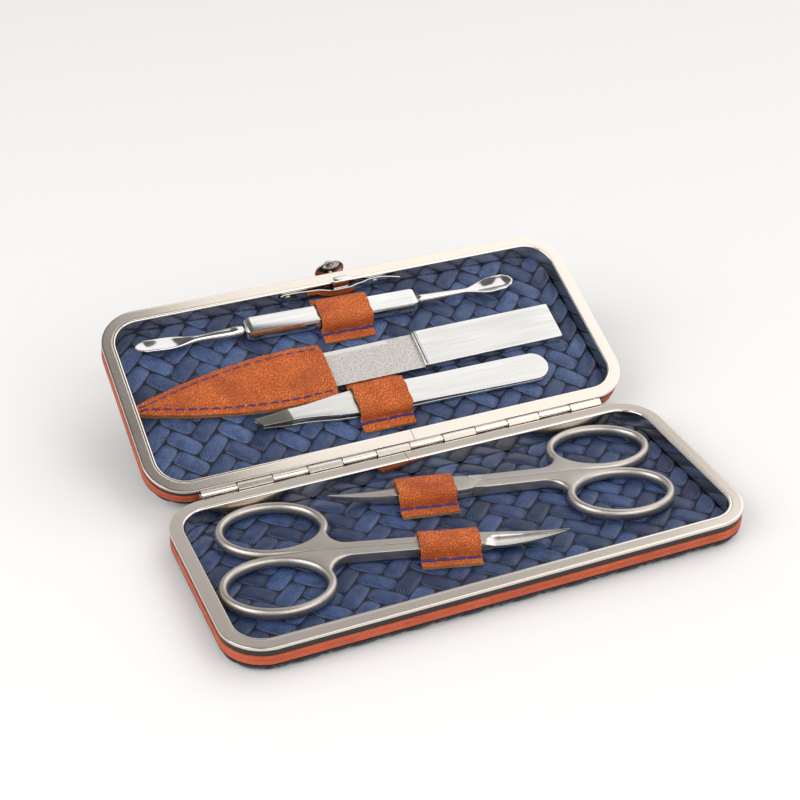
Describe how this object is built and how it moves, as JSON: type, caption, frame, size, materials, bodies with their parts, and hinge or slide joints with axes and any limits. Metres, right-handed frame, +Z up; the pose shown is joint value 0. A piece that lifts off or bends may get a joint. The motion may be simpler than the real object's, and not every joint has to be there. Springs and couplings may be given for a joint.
{
  "type": "manicure set case",
  "caption": "Hinged metal-framed leather case that opens like a book and holds scissors, tweezers, a nail file and a cuticle tool in leather loops.",
  "frame": {"origin": "centre of the lower tray's flat underside, where the case rests", "axes": "+X along the hinge, +Y from the clasp side of the lower tray towards the hinge and the raised upper tray, +Z up"},
  "size_m": [0.142, 0.1257, 0.0366],
  "materials": {
    "rim_metal": "satin",
    "hinge_metal": "polished",
    "pin_steel": "satin",
    "scissors_steel": "satin",
    "tweezers_steel": "satin",
    "bright_steel": "polished",
    "handle_metal": "polished",
    "file_grit": "matte",
    "orange_leather": "satin",
    "blue_weave": "satin",
    "dark_weave": "satin",
    "lower_shell_metal": "satin",
    "upper_shell_board": "satin",
    "board": "matte"
  },
  "bodies": {
    "lower_case": {"lower_rim_frame": "rim_metal", "lower_hinge_leaf": "hinge_metal", "lower_shell": "lower_shell_metal", "lower_side_band": "orange_leather", "lower_leather_cover": "dark_weave", "lower_padded_board": "board", "lower_woven_lining": "blue_weave", "hinge_pin": "pin_steel", "nail_scissors_loop": "orange_leather", "cuticle_scissors_loop": "orange_leather"},
    "upper_case": {"upper_rim_frame": "rim_metal", "upper_hinge_leaf": "hinge_metal", "upper_shell": "upper_shell_board", "upper_side_band": "orange_leather", "upper_leather_cover": "dark_weave", "upper_padded_board": "board", "upper_woven_lining": "blue_weave", "clasp_leaf_spring": "bright_steel", "clasp_spring_rivet_left": "pin_steel", "clasp_spring_rivet_right": "pin_steel", "tweezers_loop": "orange_leather", "cuticle_tool_loop": "orange_leather", "sheath_back_layer": "orange_leather", "sheath_front_layer": "orange_leather"},
    "clasp": {"clasp_button": "bright_steel", "clasp_stem": "pin_steel", "clasp_hook": "bright_steel"},
    "nail_scissors": {"nail_scissors_upper_half": "scissors_steel", "nail_scissors_screw": "scissors_steel"},
    "nail_scissors_turning_half": {"nail_scissors_lower_half": "scissors_steel"},
    "cuticle_scissors": {"cuticle_scissors_lower_half": "scissors_steel", "cuticle_scissors_screw": "scissors_steel"},
    "cuticle_scissors_turning_half": {"cuticle_scissors_upper_half": "scissors_steel"},
    "tweezers": {"tweezers_lower_arm": "tweezers_steel"},
    "tweezers_top": {"tweezers_upper_arm": "tweezers_steel"},
    "cuticle_tool": {"cuticle_tool_handle": "handle_metal", "cuticle_tool_pusher": "bright_steel", "cuticle_tool_spoon": "bright_steel"},
    "nail_file": {"nail_file_blade": "file_grit", "nail_file_handle": "handle_metal"}
  },
  "joints": [
    {"name": "lid_hinge", "type": "hinge", "parent": "lower_case", "child": "upper_case", "pos_m": [0, 0.0324, 0.0081], "axis": [1, 0, 0], "range_deg": [0, 156.4]},
    {"name": "clasp_press", "type": "slide", "parent": "upper_case", "child": "clasp", "axis": [0, -0.9164, -0.4003], "range_m": [0, 0.0009], "stiffness_N_per_m": 2000, "springref_m": -0.0003},
    {"name": "nail_file_slide", "type": "slide", "parent": "upper_case", "child": "nail_file", "axis": [1, 0, 0], "range_m": [-0.008, 0.007]},
    {"name": "cuticle_tool_slide", "type": "slide", "parent": "upper_case", "child": "cuticle_tool", "axis": [0.9997, -0.024, -0.0105], "range_m": [-0.005, 0.014]},
    {"name": "tweezers_slide", "type": "slide", "parent": "upper_case", "child": "tweezers", "axis": [0.9998, -0.016, -0.007], "range_m": [-0.002, 0.016]},
    {"name": "tweezers_squeeze", "type": "hinge", "parent": "tweezers", "child": "tweezers_top", "pos_m": [0.04949, 0.05012, 0.0124], "axis": [-0.0175, -0.9162, -0.4003], "range_deg": [0, 0.35], "stiffness_Nm_per_rad": 2, "springref_deg": -0.57},
    {"name": "nail_scissors_slide", "type": "slide", "parent": "lower_case", "child": "nail_scissors", "axis": [0.9781, -0.2079, 0], "range_m": [-0.002, 0.0035]},
    {"name": "nail_scissors_pivot", "type": "hinge", "parent": "nail_scissors", "child": "nail_scissors_turning_half", "pos_m": [-0.001, 0.0156, 0.0048], "axis": [0, 0, -1], "range_deg": [0, 5]},
    {"name": "cuticle_scissors_slide", "type": "slide", "parent": "lower_case", "child": "cuticle_scissors", "axis": [0.9646, -0.2639, 0], "range_m": [-0.001, 0.002]},
    {"name": "cuticle_scissors_pivot", "type": "hinge", "parent": "cuticle_scissors", "child": "cuticle_scissors_turning_half", "pos_m": [-0.004, -0.0081, 0.0048], "axis": [0, 0, 1], "range_deg": [0, 3.5]}
  ]
}
